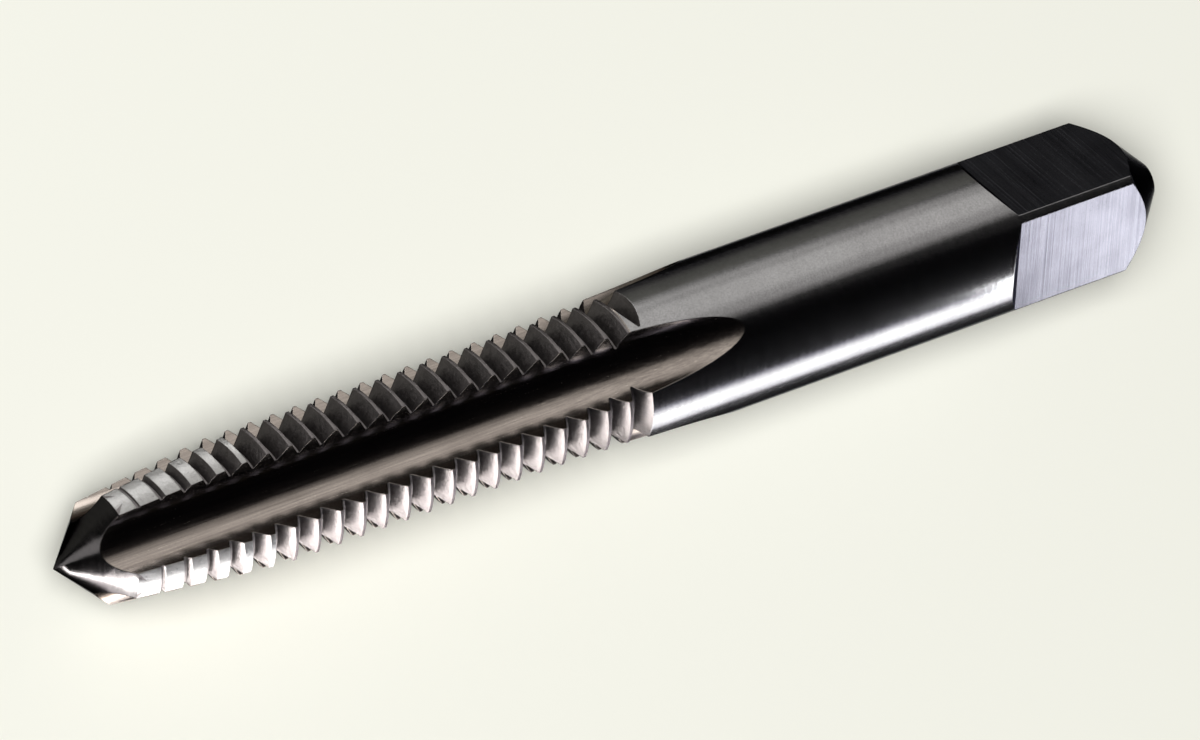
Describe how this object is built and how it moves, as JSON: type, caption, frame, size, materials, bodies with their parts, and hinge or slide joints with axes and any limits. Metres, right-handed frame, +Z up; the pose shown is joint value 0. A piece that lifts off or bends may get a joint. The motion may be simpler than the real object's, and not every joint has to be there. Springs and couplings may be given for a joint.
{
  "type": "thread tap",
  "caption": "Straight-flute hand tap with a pointed tapered lead, a plain shank and a square driving end.",
  "frame": {"origin": "under the middle of the tool's length, on the surface that it lies on", "axes": "+X along the tool's axis from the point to the driving square, +Z up, with one flute facing straight up"},
  "size_m": [0.079, 0.0096, 0.0097],
  "materials": {
    "tool_steel": "ground and polished"
  },
  "bodies": {
    "root": {"tap": "tool_steel"}
  },
  "joints": []
}
